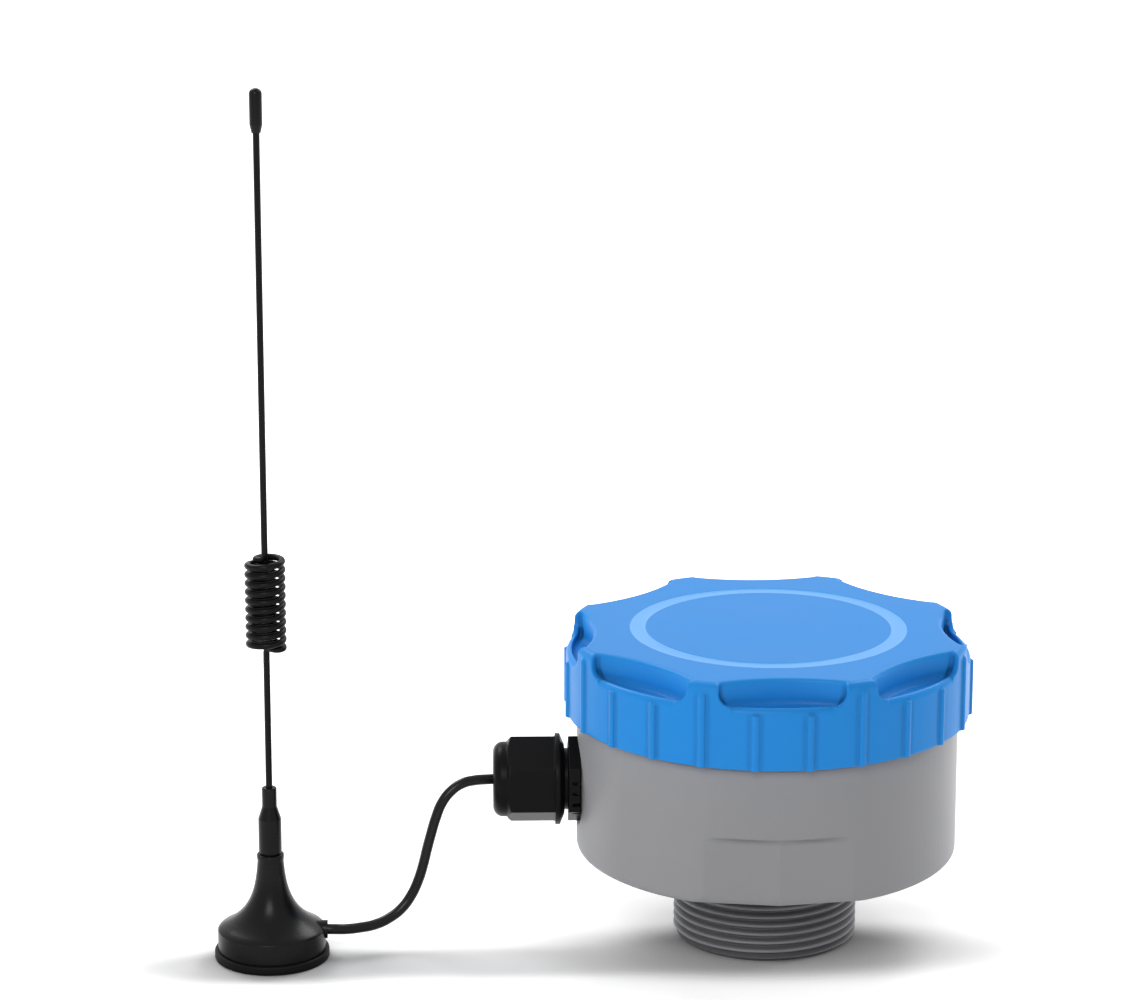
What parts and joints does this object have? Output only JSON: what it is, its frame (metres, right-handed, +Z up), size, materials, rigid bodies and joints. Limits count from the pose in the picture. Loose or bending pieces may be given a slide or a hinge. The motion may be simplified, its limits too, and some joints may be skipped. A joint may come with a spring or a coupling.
{
  "type": "radar level transmitter",
  "caption": "Wireless radar level sensor with a threaded spigot, a lobed screw cap, a side cable gland and a magnetic whip antenna on a short cable.",
  "frame": {"origin": "on the sensor's axis, in the plane of the spigot's lower rim, which the sensor stands on", "axes": "+Z up along the sensor's axis; the cable gland points along -X; the magnetic antenna stands at -X, a little towards -Y; the middle edge of the front wrench flats is on -Y"},
  "size_m": [0.196, 0.1052, 0.226],
  "materials": {
    "housing_grey": "fine moulded grey plastic, satin",
    "cap_blue": "fine moulded blue plastic, satin",
    "seal_rubber": "dull black rubber",
    "lens_plastic": "smooth pale plastic",
    "horn_metal": "turned aluminium",
    "board_green": "green solder mask",
    "chip_black": "black moulded plastic",
    "screw_steel": "plain steel",
    "shield_metal": "tinned sheet",
    "plug_brass": "plated brass",
    "holder_black": "black moulded plastic",
    "cell_sleeve": "plain green shrink sleeve",
    "contact_metal": "plated spring steel",
    "button_red": "red moulded plastic",
    "gland_black": "black nylon, satin",
    "cable_black": "black jacket, satin",
    "antenna_black": "black moulded plastic, satin",
    "foot_rubber": "dull black rubber",
    "magnet_metal": "plain ring magnet",
    "yoke_steel": "plain steel plate",
    "whip_black": "black coated spring wire"
  },
  "bodies": {
    "transmitter": {"housing": "housing_grey", "radar_lens": "lens_plastic", "lens_seal": "seal_rubber", "radar_horn": "horn_metal", "radar_board": "board_green", "radar_chip": "chip_black", "horn_screws": "screw_steel", "pin_header": "chip_black", "main_board": "board_green", "board_screws": "screw_steel", "radio_module": "shield_metal", "antenna_socket": "plug_brass", "battery_holder": "holder_black", "cell_left": "cell_sleeve", "cell_right": "cell_sleeve", "contact_springs": "contact_metal", "contact_plates": "contact_metal", "button_base": "chip_black", "gland_body": "gland_black", "gland_seal_ring": "seal_rubber", "gland_bush": "seal_rubber", "gland_lock_nut": "gland_black", "antenna_cable": "cable_black", "cable_tail": "cable_black", "cable_plug": "plug_brass", "antenna_shell": "antenna_black", "antenna_foot": "foot_rubber", "antenna_magnet": "magnet_metal", "antenna_yoke": "yoke_steel", "whip_ferrule": "antenna_black", "whip_wire": "whip_black", "whip_tip": "antenna_black"},
    "cap_seal": {"cap_gasket": "seal_rubber"},
    "cap": {"cap": "cap_blue"},
    "gland_clamp": {"gland_claw": "gland_black"},
    "gland_nut": {"gland_nut": "gland_black"},
    "power_button": {"power_button": "button_red"}
  },
  "joints": [
    {"name": "cap_lift", "type": "slide", "parent": "transmitter", "child": "cap_seal", "axis": [0, 0, 1], "range_m": [0, 0.0088]},
    {"name": "cap_turn", "type": "hinge", "parent": "cap_seal", "child": "cap", "pos_m": [0, 0, 0.07], "axis": [0, 0, 1], "range_deg": [0, 792]},
    {"name": "gland_slide", "type": "slide", "parent": "transmitter", "child": "gland_clamp", "axis": [-1, 0, 0], "range_m": [0, 0.006]},
    {"name": "gland_turn", "type": "hinge", "parent": "gland_clamp", "child": "gland_nut", "pos_m": [-0.062, 0, 0.0423], "axis": [-1, 0, 0], "range_deg": [0, 1440]},
    {"name": "button_press", "type": "slide", "parent": "transmitter", "child": "power_button", "axis": [0, 0, -1], "range_m": [0, 0.0003], "stiffness_N_per_m": 500}
  ],
  "couplings": [
    {"joint": "cap_lift", "follows": "cap_turn", "m_per_rad": 0.00063662},
    {"joint": "gland_slide", "follows": "gland_turn", "m_per_rad": 0.00023873}
  ]
}
